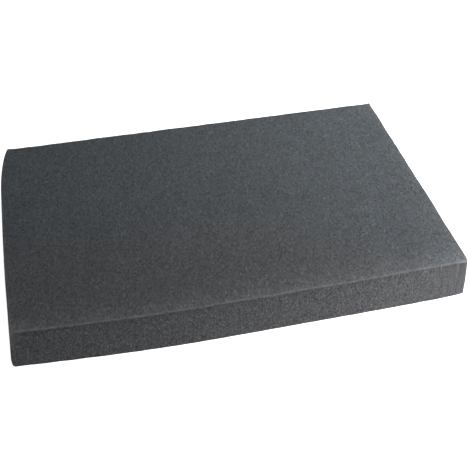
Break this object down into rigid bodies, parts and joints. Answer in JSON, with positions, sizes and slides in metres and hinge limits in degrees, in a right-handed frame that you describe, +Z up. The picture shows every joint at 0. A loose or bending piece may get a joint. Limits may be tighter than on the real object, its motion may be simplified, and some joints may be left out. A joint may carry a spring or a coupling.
{
  "type": "foam block",
  "caption": "Flat rectangular slab of fine-celled dark grey foam with knife-cut sides and softened edges, for lining, padding or cutting to shape.",
  "frame": {"origin": "middle of the base, on the surface that the slab lies on", "axes": "+X along the length to the right, +Y from the bowed front side to the straight rear side, +Z up through the thickness"},
  "size_m": [0.405, 0.285, 0.04],
  "materials": {
    "foam": "fine-celled foam, dark blue-grey, matt, with a paler rubbed line along its cut edges"
  },
  "bodies": {
    "root": {"foam_block": "foam"}
  },
  "joints": []
}
